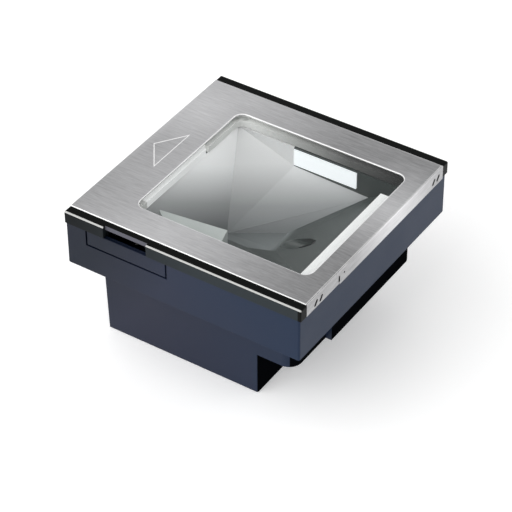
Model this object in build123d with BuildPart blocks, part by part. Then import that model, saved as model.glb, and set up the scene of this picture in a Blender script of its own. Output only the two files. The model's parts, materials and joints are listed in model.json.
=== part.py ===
from build123d import *
import os

# Flatbed barcode scanner that drops into a square checkout cut-out. Millimetres, +Z up.
# The origin is the centre of the footprint at the underside; -Y is the operator's side.

os.makedirs("parts", exist_ok=True)

# ---- Overall -------------------------------------------------------------------------------
cover_size = 152.4            # square cover, side to side
total_height = 96.5           # underside to the top of the steel sheet
skirt_depth = 35.6            # top of the sheet to the underside of the upper housing
deep_box_height = 27.8        # floor of the shallow stage above the underside

# ---- Steel sheet ---------------------------------------------------------------------------
sheet_thickness = 0.8
sheet_side_inset = 5.7        # black strip left showing along each side
flange_height = 9.0           # fold on the operator's side
flange_short_height = 8.2     # the fold's first stretch, left of its step
flange_step_x = -38.0
bend_radius = 0.7
flange_slot_width = 1.9
flange_slot_height = 4.4
flange_slot_lean = 55           # degrees from level
flange_slot_drop = 0.6          # below the middle of the fold
flange_hook_slot_width = 1.5
flange_slot_offsets = (-61.5, -56.5, 60.5, 65.2)
flange_hook_slot_x = -38.6
flange_dimple_x = -33.6
flange_dimple_rise = 0.8
flange_dimple_radius = 0.6
sheet_seat_clearance = 0.15

# ---- Window --------------------------------------------------------------------------------
window_margin_left = 25.1     # cover edge to window edge, each side
window_margin_right = 25.1
window_margin_front = 11.4
window_margin_back = 29.6
window_corner = 5.5
glass_thickness = 3.0
glass_overlap = 2.5           # glass hidden under the sheet
glass_clearance = 0.3
gasket_thickness = 0.8
glass_chamfer = 0.3
ledge_inset = 1.0             # ledge under the gasket shows this much inside the window

# ---- Pressed triangle ----------------------------------------------------------------------
triangle_width = 34.0
triangle_height = 12.0
triangle_gap = 11.6           # window edge to triangle base
triangle_depth = 0.35
triangle_slope_ends = 2.9      # run of the sloping sides at the base corners
triangle_slope_base = 0.9
triangle_slope_tip = 1.3

# ---- Cover frame ---------------------------------------------------------------------------
band_height = 8.0
band_wall = 2.5
skin_thickness = 2.5
strip_drop = 0.3              # side strips lie this far below the sheet's top
strip_edge_radius = 0.9
cover_corner = 0.6
window_block_width = 8.0      # thick frame around the window
lip_wall = 1.8
lip_depth = 4.5               # locating lip below the band
lip_clearance = 0.3
notch_front = 22.0            # finger notch in the left band
notch_back = 50.2
notch_depth = 2.1

# ---- Light strips under the glass ----------------------------------------------------------
label_thickness = 0.15
label_width = 6.2
label_edge_gap = 0.2          # ledge to the strip
label_right_margin = 16.5     # window's right edge to the strip's end
indicator_left_margin = 9.5   # window's left edge to the light pipe
indicator_length = 60.0
indicator_width = 3.2
indicator_slant = 3.0

# ---- Upper housing -------------------------------------------------------------------------
housing_inset = 0.4           # step in from the cover's band
housing_front_inset = 1.0     # step in behind the steel fold
housing_wall = 2.5
housing_corner = 1.2
hatch_front = 9.0             # pocket for the inset hatch below the notch
hatch_back = 62.6
hatch_height = 10.4
hatch_thickness = 1.7
hatch_gap = 1.0
hatch_top_gap = 0.2

# ---- Lower housing -------------------------------------------------------------------------
stage_margin_left = 23.2      # cover edge to the shallow stage's walls
stage_margin_right = 11.2
stage_margin_front = 18.7
stage_margin_back = 6.7
stage_step_x = -20.6          # right of here the front wall stands further out
stage_step_depth = 3.8
stage_corner = 8.0
stage_small_corner = 5.0
stage_overlap = 10.0          # the stepped outline runs this far into the main one
box_margin_right = 19.2       # cover edge to the deep box's right and front walls
box_margin_front = 42.2
box_corner = 1.0
lower_wall = 2.5
back_draft = 2.0              # the back wall leans in by this much towards the floor

# ---- Optics tub: a faceted funnel; plan places are shares of the window ---------------------
rim_drop = 8.6                # sheet top to the tub's rim
rim_right_inset = 1.5
tub_wall = 4.0
cavity_depth = 44.0
shelf_back_drop = 21.8
shelf_front_drop = 23.8
sill_drop = 36.0
apex_share = (0.514, 0.779)
shelf_back_share = 0.657
shelf_front_share = 0.214
sill_right_share = (0.619, 0.475)
sill_left_share = (0.459, 0.459)
mirror_thickness = 1.5
mirror_edge_gap = 0.3
ear_thickness = 3.0
ear_width = 12.0
ear_drop = 9.6
ear_inset_left = 12.7         # screw centre from the cover's edge
ear_inset_right = 12.7
ear_left_rows = (-45.0, 8.0)
ear_right_rows = (-54.0, 30.0)
shelf_length = 22.0           # shelf behind the tub for the indicator board
shelf_depth = 11.0
shelf_drop = 2.0              # below the ears' tops
shelf_thickness = 2.0

# ---- Lighting ------------------------------------------------------------------------------
board_thickness = 1.6
diffuser_thickness = 3.0
diffuser_height = 11.0
diffuser_drop = 9.8
diffuser_front_share = 0.284
diffuser_back_share = 0.657
diffuser_proud = 0.4
diffuser_clearance = 0.15
diffuser_corner = 0.6
led_board_margin_front = 3.0  # board past the diffuser, each way
led_board_margin_back = 2.0
led_board_margin_low = 2.0
led_board_margin_high = 0.8
led_size = 3.0
led_height = 1.0
led_count = 5
indicator_board_margin = 1.0  # shelf's edges to the board's
reflector_drop = 11.0
reflector_outline_shares = ((0.0, 0.79), (0.148, 0.955), (0.202, 0.582), (0.0, 0.53))

# ---- Camera --------------------------------------------------------------------------------
camera_drop = 30.0            # lens axis below the sheet's top
camera_board_width = 36.0
camera_board_height = 18.0
camera_board_y_margin = 23.2  # cover edge to the board's back face
lens_mount_size = 14.0
lens_mount_depth = 4.3
barrel_radius = 5.0
barrel_length = 14.0
barrel_fit = 0.05
barrel_stand_off = 2.0        # board face to the barrel's inner end
lens_radius = 4.0
lens_thickness = 1.5
camera_hole_radius = 5.6
camera_boss_radius = 2.6
camera_boss_offset = 13.0
camera_boss_length = 24.0
camera_corner = 1.5
lens_seat_depth = 0.5         # lens face behind the barrel's rim
lens_rim = 0.6                # lens edge held by the barrel
sensor_size = 7.0
sensor_thickness = 1.0
sensor_room = 2.0             # round the sensor inside the mount
sensor_roof = 0.4             # mount between the sensor's room and the barrel

# ---- Main board and what is on it ----------------------------------------------------------
main_board_z = 10.5           # underside of the board
main_board_margin = 4.5       # inner wall to the board's left and back edges
main_board_margin_right = 1.5
main_board_margin_front = 0.5
standoff_radius = 3.5
standoff_inset = 5.5
standoff_hole_depth = 6.5
main_board_corner = 2.0
chip_sizes = {                # width, depth, height
    "processor": (19.0, 19.0, 1.6),
    "memory": (12.0, 9.0, 1.1),
    "supply": (8.0, 6.0, 1.4),
}
processor_left = 30.0         # board's left edge to the processor's middle
processor_behind = 24.0       # board's back edge to the processor's middle
memory_offset = 24.0
memory_rows = (4.0, -10.0)
supply_offset = (-18.0, -20.0)
capacitor_radius = 4.0
capacitor_height = 9.0
capacitor_pitch = 11.0
capacitor_inset = 8.0         # board's right edge to the capacitors
capacitor_row = 50.0          # board's front edge to between them
can_left = 34.0               # board's right edge to the shield can's sides
can_right = 14.0
can_front = 12.0              # processor's middle to its front and back
can_back = 10.0
can_height = 3.6
can_wall = 0.4
can_corner = 1.0
flex_width = 10.0
flex_offset = 13.0            # left of the lens axis
flex_thickness = 0.3
flex_rise = 3.0               # above the stage's floor
flex_lap = 3.0                # up the camera board
flex_socket_width = 16.0
flex_socket_depth = 4.0
flex_socket_height = 3.0
flex_socket_row = 9.0         # board's front edge to the socket
port_gap = 0.2
host_port = (6.0, 22.0, 14.0)     # left, right, height
host_mouth = (12.2, 8.6, 12.0)    # width, height, depth
aux_port = (26.0, 39.5, 13.0)
aux_mouth = (9.8, 7.4, 11.0)
port_depth = 17.0
power_jack = (42.6, 51.6, 11.0)
power_jack_depth = 13.0
power_hole_radius = 2.9
power_pin_radius = 1.0
power_hole_depth = 9.0

# ---- Push button ---------------------------------------------------------------------------
button_x = -12.0
button_z = 19.0
button_radius = 4.0
button_hole_clearance = 0.3
button_proud = 1.2
button_flange_radius = 5.2
button_flange = 1.0
button_travel = 1.0
button_chamfer = 0.4
switch_gap = 0.3
switch_width = 8.0
switch_depth = 4.0
switch_rise = 3.5             # above the button's axis
switch_plunger_radius = 1.7
switch_plunger_length = 1.0

# ---- Speaker -------------------------------------------------------------------------------
speaker_left = 22.0
speaker_length = 30.0
speaker_width = 18.0
speaker_height = 8.0
speaker_corner = 4.0
speaker_cone_depth = 1.2
speaker_rim = 2.0
grille_slots = 7
grille_slot_width = 1.6
grille_slot_length = 12.0
grille_pitch = 3.6

# ---- Screws --------------------------------------------------------------------------------
screw_radius = 1.25
screw_hole_radius = 1.3
screw_clearance_radius = 1.6
screw_head_radius = 2.75
screw_head_height = 2.0
screw_socket_radius = 1.25
screw_socket_depth = 1.2
boss_radius = 4.0
boss_height = 19.0
boss_wall_offset = 3.0
boss_rows = (-45.0, 50.0)
boss_land = 6.0               # flange left round each housing screw
boss_hole_end = 3.0           # solid left under each screw hole
post_hole_depth = 12.0
camera_hole_depth = 8.0
housing_screw_length = 12.0
tub_screw_length = 12.0
board_screw_length = 6.0
camera_screw_length = 7.0
small_screw_head_radius = 2.1
small_screw_head_height = 1.4

# ---- Worked out from the values above -------------------------------------------------------
half = cover_size / 2
frame_top = total_height - sheet_thickness
band_bottom = total_height - band_height
flange_middle = total_height - flange_height / 2
skin_bottom = frame_top - skin_thickness
strip_top = total_height - strip_drop
sheet_left = -half + sheet_side_inset
sheet_right = half - sheet_side_inset
window_left = -half + window_margin_left
window_right = half - window_margin_right
window_front = -half + window_margin_front
window_back = half - window_margin_back
window_middle = (window_left + window_right) / 2
glass_bottom = frame_top - glass_thickness
ledge_top = glass_bottom - gasket_thickness
housing_half = half - housing_inset
housing_front = -half + housing_front_inset
housing_inner = housing_half - housing_wall
housing_bottom = total_height - skirt_depth
housing_floor = housing_bottom + housing_wall
stage_left = -half + stage_margin_left
stage_right = half - stage_margin_right
stage_front = -half + stage_margin_front
stage_step_front = stage_front - stage_step_depth
stage_back = half - stage_margin_back
stage_floor = deep_box_height + lower_wall
box_right = half - box_margin_right
box_front = -half + box_margin_front
back_inner = stage_back - back_draft - lower_wall
main_board_top = main_board_z + board_thickness
board_left = stage_left + lower_wall + main_board_margin
board_right = box_right - lower_wall - main_board_margin_right
board_front = box_front + lower_wall + main_board_margin_front
board_back = back_inner - main_board_margin
camera_board_back = -half + camera_board_y_margin
camera_board_front = camera_board_back + board_thickness
camera_z = total_height - camera_drop
ear_top = total_height - ear_drop
ear_spots = [(-half + ear_inset_left, row) for row in ear_left_rows]
ear_spots += [(half - ear_inset_right, row) for row in ear_right_rows]
boss_spots = [(stage_left + lower_wall + boss_wall_offset, row) for row in boss_rows]
boss_spots += [(stage_right - lower_wall - boss_wall_offset, row) for row in boss_rows]
standoff_spots = [
    (x, y)
    for x in (board_left + standoff_inset, board_right - standoff_inset)
    for y in (board_front + 2 * standoff_inset + port_depth, board_back - standoff_inset)
]

# Corners of the optical cavity.
rim_left = window_left
rim_right = window_right - rim_right_inset
rim_front = window_front
rim_back = window_back
rim_z = total_height - rim_drop


def across(share):
    """X at a share of the cavity's width, from its left edge."""
    return rim_left + share * (rim_right - rim_left)


def along(share):
    """Y at a share of the cavity's depth, from its front edge."""
    return rim_front + share * (rim_back - rim_front)


def cavity_corners(wall):
    """The cavity's corners, or the tub's outer ones, this wall further out."""
    left = rim_left - wall
    right = rim_right + wall
    front = rim_front - wall
    back = rim_back + wall
    return {
        "front_left": Vector(left, front, rim_z),
        "front_right": Vector(right, front, rim_z),
        "back_right": Vector(right, back, rim_z),
        "back_left": Vector(left, back, rim_z),
        "shelf_back": Vector(right, along(shelf_back_share), total_height - shelf_back_drop - wall),
        "shelf_front": Vector(right, along(shelf_front_share), total_height - shelf_front_drop - wall),
        "apex": Vector(
            across(apex_share[0]), along(apex_share[1]) + wall / 2, total_height - cavity_depth - 1.2 * wall
        ),
        "sill_right": Vector(
            across(sill_right_share[0]), along(sill_right_share[1]), total_height - sill_drop - 1.2 * wall
        ),
        "sill_left": Vector(
            across(sill_left_share[0]), along(sill_left_share[1]), total_height - sill_drop - 1.2 * wall
        ),
    }


cavity = cavity_corners(0)
tub_outside = cavity_corners(tub_wall)
cavity_middle = Vector(across(0.5), along(0.5), rim_z)


def facet_plane(names):
    """Plane of a cavity facet, facing out of the cavity."""
    first, second, third = (cavity[name] for name in names[:3])
    normal = (second - first).cross(third - first).normalized()
    if normal.dot(first - cavity_middle) < 0:
        normal = normal * -1
    return Plane(origin=first, x_dir=second - first, z_dir=normal)


def facet_face(names):
    """The facet's outline, on a sketch that lies on its plane."""
    plane = facet_plane(names)
    corners = [plane.to_local_coords(cavity[name]) for name in names]
    Polygon(*[(corner.X, corner.Y) for corner in corners], align=None)


def span(left, right, front, back, mode=Mode.ADD):
    """Rectangle between four edges, on the sketch in hand."""
    with Locations(((left + right) / 2, (front + back) / 2)):
        Rectangle(right - left, back - front, mode=mode)


def round_span(left, right, front, back, radius, mode=Mode.ADD):
    """Rounded rectangle between four edges, on the sketch in hand."""
    with Locations(((left + right) / 2, (front + back) / 2)):
        RectangleRounded(right - left, back - front, radius, mode=mode)


def window_outline(grow, mode=Mode.ADD):
    """The window's rounded outline, this much larger all round."""
    round_span(
        window_left - grow,
        window_right + grow,
        window_front - grow,
        window_back + grow,
        window_corner + grow,
        mode,
    )


def level(height):
    """Horizontal plane at a height."""
    return Plane.XY.offset(height)


def front_plane(y):
    """Upright plane at a place along Y, facing the operator: its X is X and its Y is Z."""
    return Plane(origin=(0, y, 0), x_dir=(1, 0, 0), z_dir=(0, -1, 0))


def side_plane(x):
    """Upright plane at a place along X, facing right: its X is Y and its Y is Z."""
    return Plane(origin=(x, 0, 0), x_dir=(0, 1, 0), z_dir=(1, 0, 0))


# ---- Top cover -----------------------------------------------------------------------------
with BuildPart() as top_sheet:
    with BuildSketch(level(frame_top)):
        span(sheet_left, sheet_right, -half, half)
    extrude(amount=sheet_thickness)
    with BuildSketch(level(total_height)):
        span(sheet_left, sheet_right, -half, -half + sheet_thickness)
    extrude(amount=-flange_height)
    with BuildSketch(level(total_height - flange_height)):
        span(sheet_left, flange_step_x, -half, -half + sheet_thickness)
    extrude(amount=flange_height - flange_short_height, mode=Mode.SUBTRACT)
    with BuildSketch(level(total_height)):
        window_outline(0)
    extrude(amount=-sheet_thickness, mode=Mode.SUBTRACT)
    fillet(
        top_sheet.edges().filter_by(Axis.X).group_by(Axis.Z)[-1].sort_by(Axis.Y)[0],
        radius=bend_radius,
    )
    # Slots where the cover's hooks catch the fold, the hook slot at its step, and a dimple.
    with BuildSketch(front_plane(-half)):
        with Locations(*[(x, flange_middle - flange_slot_drop) for x in flange_slot_offsets]):
            SlotOverall(flange_slot_height, flange_slot_width, rotation=flange_slot_lean)
        with Locations((flange_hook_slot_x, flange_middle - flange_slot_drop)):
            SlotOverall(flange_slot_height, flange_hook_slot_width, rotation=90)
        with Locations((flange_dimple_x, flange_middle + flange_dimple_rise)):
            Circle(flange_dimple_radius)
    extrude(amount=-sheet_thickness, mode=Mode.SUBTRACT)
    # Pressed triangle pointing away from the operator, with sloping sides.
    with BuildSketch(level(total_height)):
        with Locations((window_middle, window_back + triangle_gap)):
            Polygon(
                (-triangle_width / 2, 0),
                (triangle_width / 2, 0),
                (0, triangle_height),
                align=None,
            )
    with BuildSketch(level(total_height - triangle_depth)):
        with Locations((window_middle, window_back + triangle_gap)):
            Polygon(
                (-triangle_width / 2 + triangle_slope_ends, triangle_slope_base),
                (triangle_width / 2 - triangle_slope_ends, triangle_slope_base),
                (0, triangle_height - triangle_slope_tip),
                align=None,
            )
    loft(mode=Mode.SUBTRACT)
top_sheet.part.label = "top_sheet"
export_step(top_sheet.part, "parts/top_sheet.step")

with BuildPart() as cover_frame:
    with BuildSketch(level(band_bottom)):
        round_span(-half, half, -half, half, cover_corner)
    extrude(amount=strip_top - band_bottom)
    fillet(cover_frame.edges().group_by(Axis.Z)[-1], radius=strip_edge_radius)
    # Seat for the sheet between the two side strips.
    with BuildSketch(level(frame_top)):
        span(sheet_left - sheet_seat_clearance, sheet_right + sheet_seat_clearance, -half, half)
    extrude(amount=strip_top - frame_top, mode=Mode.SUBTRACT)
    # Hollow under the skin, around the thick frame that carries the glass.
    with BuildSketch(level(band_bottom)):
        span(-half + band_wall, half - band_wall, -half + band_wall, half - band_wall)
        window_outline(window_block_width, Mode.SUBTRACT)
    extrude(amount=skin_bottom - band_bottom, mode=Mode.SUBTRACT)
    # Locating lip that stands inside the upper housing's walls.
    lip_outer = housing_inner - lip_clearance
    lip_inner = lip_outer - lip_wall
    with BuildSketch(level(skin_bottom)):
        span(-lip_outer, lip_outer, -lip_outer, lip_outer)
        span(-lip_inner, lip_inner, -lip_inner, lip_inner, Mode.SUBTRACT)
    extrude(amount=band_bottom - lip_depth - skin_bottom)
    # Window: a pocket for the gasket and glass, and the hole through the ledge below it.
    with BuildSketch(level(ledge_top)):
        window_outline(glass_overlap + glass_clearance)
    extrude(amount=frame_top - ledge_top, mode=Mode.SUBTRACT)
    with BuildSketch(level(band_bottom)):
        window_outline(-ledge_inset)
    extrude(amount=ledge_top - band_bottom, mode=Mode.SUBTRACT)
    # Slot in the ledge for the light pipe.
    with BuildSketch(level(band_bottom)):
        span(
            window_left + indicator_left_margin,
            window_left + indicator_left_margin + indicator_length,
            window_back - ledge_inset,
            window_back - ledge_inset + indicator_width,
        )
    extrude(amount=ledge_top - band_bottom, mode=Mode.SUBTRACT)
    # Seat for the sheet's fold.
    with BuildSketch(level(band_bottom)):
        span(
            sheet_left - sheet_seat_clearance,
            sheet_right + sheet_seat_clearance,
            -half,
            -half + sheet_thickness,
        )
    extrude(amount=frame_top - band_bottom, mode=Mode.SUBTRACT)
    # Finger notch: the band and lip are open here, under a thinned edge.
    with BuildSketch(level(band_bottom)):
        span(-half, -half + notch_depth, notch_front, notch_back)
    extrude(amount=strip_top - band_bottom, mode=Mode.SUBTRACT)
    with BuildSketch(level(band_bottom - lip_depth)):
        span(-half, -lip_inner, notch_front, notch_back)
    extrude(amount=skin_bottom - band_bottom + lip_depth, mode=Mode.SUBTRACT)
cover_frame.part.label = "cover_frame"
export_step(cover_frame.part, "parts/cover_frame.step")

with BuildPart() as window_glass:
    with BuildSketch(level(glass_bottom)):
        window_outline(glass_overlap)
    extrude(amount=glass_thickness)
    chamfer(window_glass.edges().group_by(Axis.Z)[-1], length=glass_chamfer)
window_glass.part.label = "window_glass"
export_step(window_glass.part, "parts/window_glass.step")

with BuildPart() as glass_gasket:
    with BuildSketch(level(ledge_top)):
        window_outline(glass_overlap)
        window_outline(-ledge_inset, Mode.SUBTRACT)
        span(
            window_left + indicator_left_margin,
            window_left + indicator_left_margin + indicator_length,
            window_back - 2 * ledge_inset,
            window_back - ledge_inset + indicator_width,
            Mode.SUBTRACT,
        )
    extrude(amount=gasket_thickness)
glass_gasket.part.label = "glass_gasket"
export_step(glass_gasket.part, "parts/glass_gasket.step")

with BuildPart() as front_strip:
    with BuildSketch(level(glass_bottom)):
        window_outline(-ledge_inset - label_edge_gap)
        span(
            window_left,
            window_right - label_right_margin,
            window_front,
            window_front + ledge_inset + label_width,
            Mode.INTERSECT,
        )
    extrude(amount=-label_thickness)
front_strip.part.label = "front_strip"
export_step(front_strip.part, "parts/front_strip.step")

with BuildPart() as indicator_light_pipe:
    with BuildSketch(level(band_bottom)):
        with BuildLine():
            pipe_left = window_left + indicator_left_margin
            pipe_right = pipe_left + indicator_length
            pipe_front = window_back - ledge_inset
            pipe_back = pipe_front + indicator_width
            Polyline(
                (pipe_left, pipe_front),
                (pipe_right - indicator_slant, pipe_front),
                (pipe_right, pipe_back),
                (pipe_left, pipe_back),
                close=True,
            )
        make_face()
    extrude(amount=glass_bottom - band_bottom)
indicator_light_pipe.part.label = "indicator_light_pipe"
export_step(indicator_light_pipe.part, "parts/indicator_light_pipe.step")

# ---- Upper housing -------------------------------------------------------------------------
with BuildPart() as upper_housing:
    with BuildSketch(level(housing_bottom)):
        round_span(-housing_half, housing_half, housing_front, housing_half, housing_corner)
    extrude(amount=band_bottom - housing_bottom)
    with BuildSketch(level(housing_floor)):
        span(-housing_inner, housing_inner, -housing_inner, housing_inner)
    extrude(amount=band_bottom - housing_floor, mode=Mode.SUBTRACT)
    # Opening over the lower housing, with lands for its screws.
    with BuildSketch(level(housing_bottom)):
        span(
            stage_left + lower_wall,
            stage_right - lower_wall,
            stage_front + lower_wall,
            back_inner,
        )
        with Locations(*boss_spots):
            Rectangle(2 * boss_land, 2 * boss_land, mode=Mode.SUBTRACT)
    extrude(amount=housing_wall, mode=Mode.SUBTRACT)
    # Posts for the optics tub.
    with BuildSketch(level(housing_floor)):
        with Locations(*ear_spots):
            Circle(boss_radius)
    extrude(amount=ear_top - ear_thickness - housing_floor)
    with BuildSketch(level(ear_top - ear_thickness)):
        with Locations(*ear_spots):
            Circle(screw_hole_radius)
    extrude(amount=-post_hole_depth, mode=Mode.SUBTRACT)
    with BuildSketch(level(housing_bottom)):
        with Locations(*boss_spots):
            Circle(screw_clearance_radius)
    extrude(amount=housing_wall, mode=Mode.SUBTRACT)
    # Pocket for the inset hatch, open to the rim.
    with BuildSketch(level(band_bottom - hatch_height)):
        span(-housing_half, -housing_half + hatch_thickness, hatch_front, hatch_back)
    extrude(amount=hatch_height, mode=Mode.SUBTRACT)
upper_housing.part.label = "upper_housing"
export_step(upper_housing.part, "parts/upper_housing.step")

with BuildPart() as side_hatch:
    with BuildSketch(level(band_bottom - hatch_height + hatch_gap)):
        span(
            -housing_half,
            -housing_half + hatch_thickness,
            hatch_front + hatch_gap,
            hatch_back - hatch_gap,
        )
    extrude(amount=hatch_height - hatch_gap - hatch_top_gap)
side_hatch.part.label = "side_hatch"
export_step(side_hatch.part, "parts/side_hatch.step")

# ---- Lower housing -------------------------------------------------------------------------
with BuildPart() as lower_housing:
    # Shallow stage: front wall stepped out on the right, larger plan radius at its front corners.
    with BuildSketch(level(deep_box_height)) as stage_outline:
        span(stage_left, stage_right, stage_front, stage_back)
        fillet(stage_outline.vertices().group_by(Axis.Y)[0].sort_by(Axis.X)[0], radius=stage_corner)
        round_span(
            stage_step_x,
            stage_right,
            stage_step_front,
            stage_back - stage_overlap,
            stage_small_corner,
        )
        span(
            stage_step_x,
            stage_step_x + stage_overlap,
            stage_step_front,
            stage_front + stage_overlap,
        )
    extrude(amount=housing_bottom - deep_box_height)
    # Deep box below it, sharing its left and back walls.
    with BuildSketch(level(0)):
        round_span(stage_left, box_right, box_front, stage_back, box_corner)
    extrude(amount=deep_box_height)
    # Draft on the back wall.
    with BuildSketch(side_plane(stage_left)):
        with BuildLine():
            Polyline(
                (stage_back, housing_bottom),
                (stage_back + stage_overlap, housing_bottom),
                (stage_back + stage_overlap, 0),
                (stage_back - back_draft, 0),
                close=True,
            )
        make_face()
    extrude(amount=stage_right - stage_left, mode=Mode.SUBTRACT)
    # Inside of the stage and of the box.
    with BuildSketch(level(stage_floor)):
        round_span(
            stage_left + lower_wall,
            stage_right - lower_wall,
            stage_front + lower_wall,
            back_inner,
            stage_corner - lower_wall,
        )
        span(
            stage_step_x + lower_wall,
            stage_right - lower_wall,
            stage_step_front + lower_wall,
            stage_front + stage_overlap,
        )
    extrude(amount=housing_bottom - stage_floor, mode=Mode.SUBTRACT)
    with BuildSketch(level(lower_wall)):
        span(stage_left + lower_wall, box_right - lower_wall, box_front + lower_wall, back_inner)
    extrude(amount=stage_floor - lower_wall, mode=Mode.SUBTRACT)
    # Bosses that take the housing screws, and stand-offs for the main board.
    with BuildSketch(level(housing_bottom)):
        with Locations(*boss_spots):
            Circle(boss_radius)
    extrude(amount=-boss_height)
    with BuildSketch(level(lower_wall)):
        with Locations(*standoff_spots):
            Circle(standoff_radius)
    extrude(amount=main_board_z - lower_wall)
    with BuildSketch(level(housing_bottom)):
        with Locations(*boss_spots):
            Circle(screw_hole_radius)
    extrude(amount=-boss_height + boss_hole_end, mode=Mode.SUBTRACT)
    with BuildSketch(level(main_board_z)):
        with Locations(*standoff_spots):
            Circle(screw_hole_radius)
    extrude(amount=-standoff_hole_depth, mode=Mode.SUBTRACT)
    # Port openings and the button's hole in the box's front wall.
    with BuildSketch(front_plane(box_front)):
        for port in (host_port, aux_port, power_jack):
            span(
                port[0] - port_gap,
                port[1] + port_gap,
                main_board_top - port_gap,
                main_board_top + port[2] + port_gap,
            )
        with Locations((button_x, button_z)):
            Circle(button_radius + button_hole_clearance)
    extrude(amount=-lower_wall, mode=Mode.SUBTRACT)
    # Sound slots under the speaker.
    with BuildSketch(level(deep_box_height)):
        with Locations((speaker_left + speaker_length / 2, stage_front + lower_wall + speaker_width / 2)):
            with GridLocations(grille_pitch, 0, grille_slots, 1):
                SlotOverall(grille_slot_length, grille_slot_width, rotation=90)
    extrude(amount=lower_wall, mode=Mode.SUBTRACT)
lower_housing.part.label = "lower_housing"
export_step(lower_housing.part, "parts/lower_housing.step")

# ---- Optics tub and mirrors ----------------------------------------------------------------
mirror_facets = {
    "main_mirror": ("back_left", "back_right", "apex"),
    "corner_mirror": ("back_right", "shelf_back", "apex"),
    "side_mirror": ("shelf_back", "shelf_front", "apex"),
    "front_mirror": ("shelf_front", "sill_right", "apex"),
}
diffuser_front = along(diffuser_front_share)
diffuser_back = along(diffuser_back_share)
diffuser_top = total_height - diffuser_drop
diffuser_face = rim_right - diffuser_proud
led_board_left = rim_right + tub_wall

with BuildPart() as optics_tub:
    ConvexPolyhedron(list(tub_outside.values()))
    # Ears over the housing's posts and under the indicator board.
    with BuildSketch(level(ear_top)):
        for spot, edge in zip(ear_spots, (rim_left, rim_left, rim_right, rim_right)):
            with Locations(((spot[0] + edge) / 2, spot[1])):
                Rectangle(abs(spot[0] - edge), ear_width)
        with Locations(*ear_spots):
            Circle(ear_width / 2)
    extrude(amount=-ear_thickness)
    with BuildSketch(level(ear_top - shelf_drop)):
        span(window_middle - shelf_length, window_middle, rim_back, rim_back + shelf_depth)
    extrude(amount=-shelf_thickness)
    # Bosses for the camera board, running forward from the sloping front wall.
    with BuildSketch(front_plane(camera_board_front)):
        with Locations(
            (window_middle - camera_boss_offset, camera_z), (window_middle + camera_boss_offset, camera_z)
        ):
            Circle(camera_boss_radius)
    extrude(amount=-camera_boss_length)
    ConvexPolyhedron(list(cavity.values()), mode=Mode.SUBTRACT)
    # Pockets for the mirrors.
    for facet in mirror_facets.values():
        with BuildSketch(facet_plane(facet)):
            facet_face(facet)
        extrude(amount=mirror_thickness, mode=Mode.SUBTRACT)
    # Windows for the diffuser bar and the lens, and the screw holes.
    with BuildSketch(side_plane(rim_right - diffuser_thickness)):
        span(
            diffuser_front - diffuser_clearance,
            diffuser_back + diffuser_clearance,
            diffuser_top - diffuser_height - diffuser_clearance,
            diffuser_top + diffuser_clearance,
        )
    extrude(amount=tub_wall + diffuser_thickness, mode=Mode.SUBTRACT)
    with BuildSketch(front_plane(camera_board_front)):
        with Locations((window_middle, camera_z)):
            Circle(camera_hole_radius)
    extrude(amount=-2 * camera_boss_length, mode=Mode.SUBTRACT)
    with BuildSketch(front_plane(camera_board_front)):
        with Locations(
            (window_middle - camera_boss_offset, camera_z), (window_middle + camera_boss_offset, camera_z)
        ):
            Circle(screw_hole_radius)
    extrude(amount=-camera_hole_depth, mode=Mode.SUBTRACT)
    with BuildSketch(level(ear_top)):
        with Locations(*ear_spots):
            Circle(screw_clearance_radius)
    extrude(amount=-ear_thickness, mode=Mode.SUBTRACT)
optics_tub.part.label = "optics_tub"
export_step(optics_tub.part, "parts/optics_tub.step")

for mirror_name, facet in mirror_facets.items():
    with BuildPart() as mirror_plate:
        with BuildSketch(facet_plane(facet)):
            facet_face(facet)
            offset(amount=-mirror_edge_gap, kind=Kind.INTERSECTION)
        extrude(amount=mirror_thickness)
    mirror_plate.part.label = mirror_name
    export_step(mirror_plate.part, f"parts/{mirror_name}.step")

# ---- Lighting ------------------------------------------------------------------------------
with BuildPart() as diffuser_bar:
    with BuildSketch(side_plane(diffuser_face)):
        span(diffuser_front, diffuser_back, diffuser_top - diffuser_height, diffuser_top)
    extrude(amount=diffuser_thickness)
    fillet(diffuser_bar.edges().filter_by(Axis.X), radius=diffuser_corner)
diffuser_bar.part.label = "diffuser_bar"
export_step(diffuser_bar.part, "parts/diffuser_bar.step")

with BuildPart() as side_reflector:
    with BuildSketch(level(total_height - reflector_drop)):
        with BuildLine():
            Polyline(*[(across(x), along(y)) for x, y in reflector_outline_shares], close=True)
        make_face()
    extrude(amount=-cavity_depth / 2)
    ConvexPolyhedron(list(cavity.values()), mode=Mode.INTERSECT)
side_reflector.part.label = "side_reflector"
export_step(side_reflector.part, "parts/side_reflector.step")

with BuildPart() as led_board:
    with BuildSketch(side_plane(led_board_left)):
        span(
            diffuser_front - led_board_margin_front,
            diffuser_back + led_board_margin_back,
            diffuser_top - diffuser_height - led_board_margin_low,
            diffuser_top + led_board_margin_high,
        )
    extrude(amount=board_thickness)
led_board.part.label = "led_board"
export_step(led_board.part, "parts/led_board.step")

led_pitch = (diffuser_back - diffuser_front) / led_count
with BuildPart() as illumination_leds:
    with BuildSketch(side_plane(led_board_left)):
        with Locations(((diffuser_front + diffuser_back) / 2, diffuser_top - diffuser_height / 2)):
            with GridLocations(led_pitch, 0, led_count, 1):
                Rectangle(led_size, led_size)
    extrude(amount=-led_height)
illumination_leds.part.label = "illumination_leds"
export_step(illumination_leds.part, "parts/illumination_leds.step")

with BuildPart() as indicator_board:
    with BuildSketch(level(ear_top - shelf_drop)):
        span(
            window_middle - shelf_length + indicator_board_margin,
            window_middle - indicator_board_margin,
            rim_back + tub_wall + indicator_board_margin,
            rim_back + shelf_depth - indicator_board_margin,
        )
    extrude(amount=board_thickness / 2)
indicator_board.part.label = "indicator_board"
export_step(indicator_board.part, "parts/indicator_board.step")

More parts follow.
